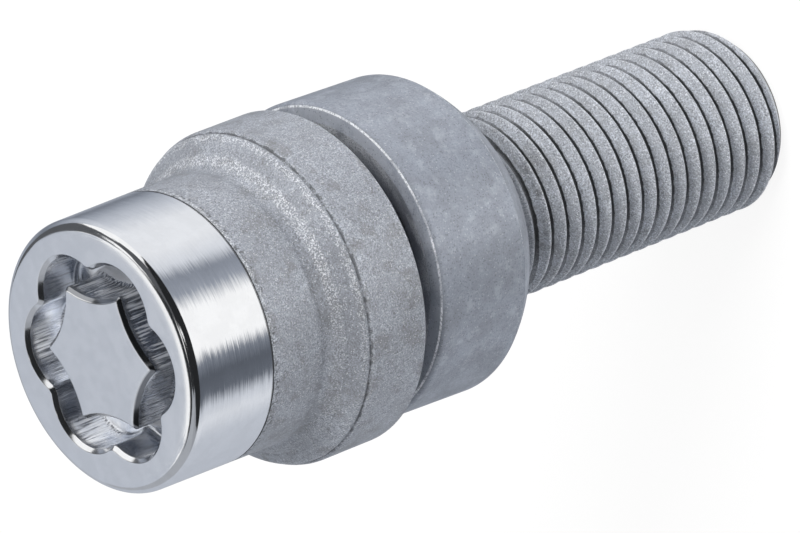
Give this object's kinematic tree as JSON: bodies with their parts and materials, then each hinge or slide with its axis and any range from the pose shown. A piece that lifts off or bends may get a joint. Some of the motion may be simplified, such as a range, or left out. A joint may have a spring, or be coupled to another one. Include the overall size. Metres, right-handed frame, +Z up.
{
  "type": "locking wheel bolt",
  "caption": "Locking wheel bolt: lobed key recess round a star in a round head, wide flange, loose ball-seat ring on the neck, threaded shank.",
  "frame": {"origin": "centre of the threaded end's flat face, on which the bolt stands", "axes": "+Z up the bolt's axis towards the keyed head; +X through one point of the star in the key recess"},
  "size_m": [0.0246, 0.0246, 0.061],
  "materials": {
    "plated_steel": "grey zinc flake on the shank and flange, bright chrome on the keyed head",
    "ring_steel": "smooth satin grey zinc flake, a little bluer than the bolt"
  },
  "bodies": {
    "bolt": {"wheel_bolt": "plated_steel"},
    "ring": {"seat_ring": "ring_steel"}
  },
  "joints": [
    {"name": "ring_spin", "type": "hinge", "parent": "bolt", "child": "ring", "pos_m": [0.00021, 0.00002, 0.03237], "axis": [0.02, -0.0359, 0.9992], "continuous": true}
  ]
}
